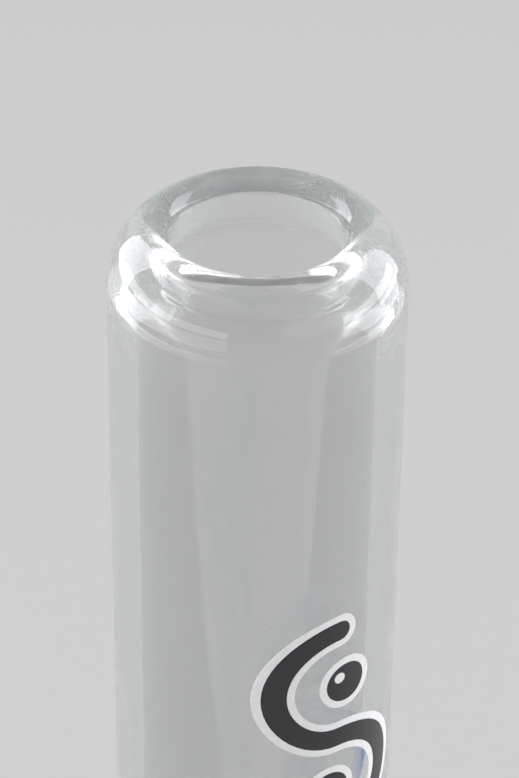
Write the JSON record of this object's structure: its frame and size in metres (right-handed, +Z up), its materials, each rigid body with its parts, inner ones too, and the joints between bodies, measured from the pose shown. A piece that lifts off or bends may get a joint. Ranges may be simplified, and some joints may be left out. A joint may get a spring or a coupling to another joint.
{
  "type": "glass water pipe",
  "caption": "Straight clear-glass water pipe on a round foot, with a rolled-in mouth, ice notches, a slanting ground socket, a lift-out downstem and bowl, and a printed wave.",
  "frame": {"origin": "centre of the underside of the foot, on the tube's axis", "axes": "+Z up the tube's axis to the mouth, +X towards the slanting side socket, -Y the front"},
  "size_m": [0.1432, 0.11, 0.4],
  "materials": {
    "clear_glass": "clear borosilicate, fire-polished",
    "ground_glass": "finely ground, matt white",
    "white_ink": "fired screen-print enamel, satin",
    "blue_ink": "fired screen-print enamel, satin",
    "black_ink": "fired screen-print enamel, satin",
    "steel_wire": "fine woven stainless wire"
  },
  "bodies": {
    "glass_body": {"tube": "clear_glass", "foot": "clear_glass", "side_socket": "clear_glass", "print_white": "white_ink", "print_blue": "blue_ink", "print_black": "black_ink"},
    "downstem": {"downstem_adapter": "clear_glass", "dip_tube": "clear_glass"},
    "bowl": {"bowl_joint": "ground_glass", "bowl_cup": "clear_glass", "bowl_handle": "clear_glass"},
    "screen": {"gauze": "steel_wire"}
  },
  "joints": [
    {"name": "downstem_lift", "type": "slide", "parent": "glass_body", "child": "downstem", "axis": [0.7071, 0, 0.7071], "range_m": [0, 0.095]},
    {"name": "bowl_lift", "type": "slide", "parent": "downstem", "child": "bowl", "axis": [0.7071, 0, 0.7071], "range_m": [0, 0.03]},
    {"name": "gauze_lift", "type": "slide", "parent": "bowl", "child": "screen", "axis": [0.7071, 0, 0.7071], "range_m": [0, 0.02]}
  ]
}
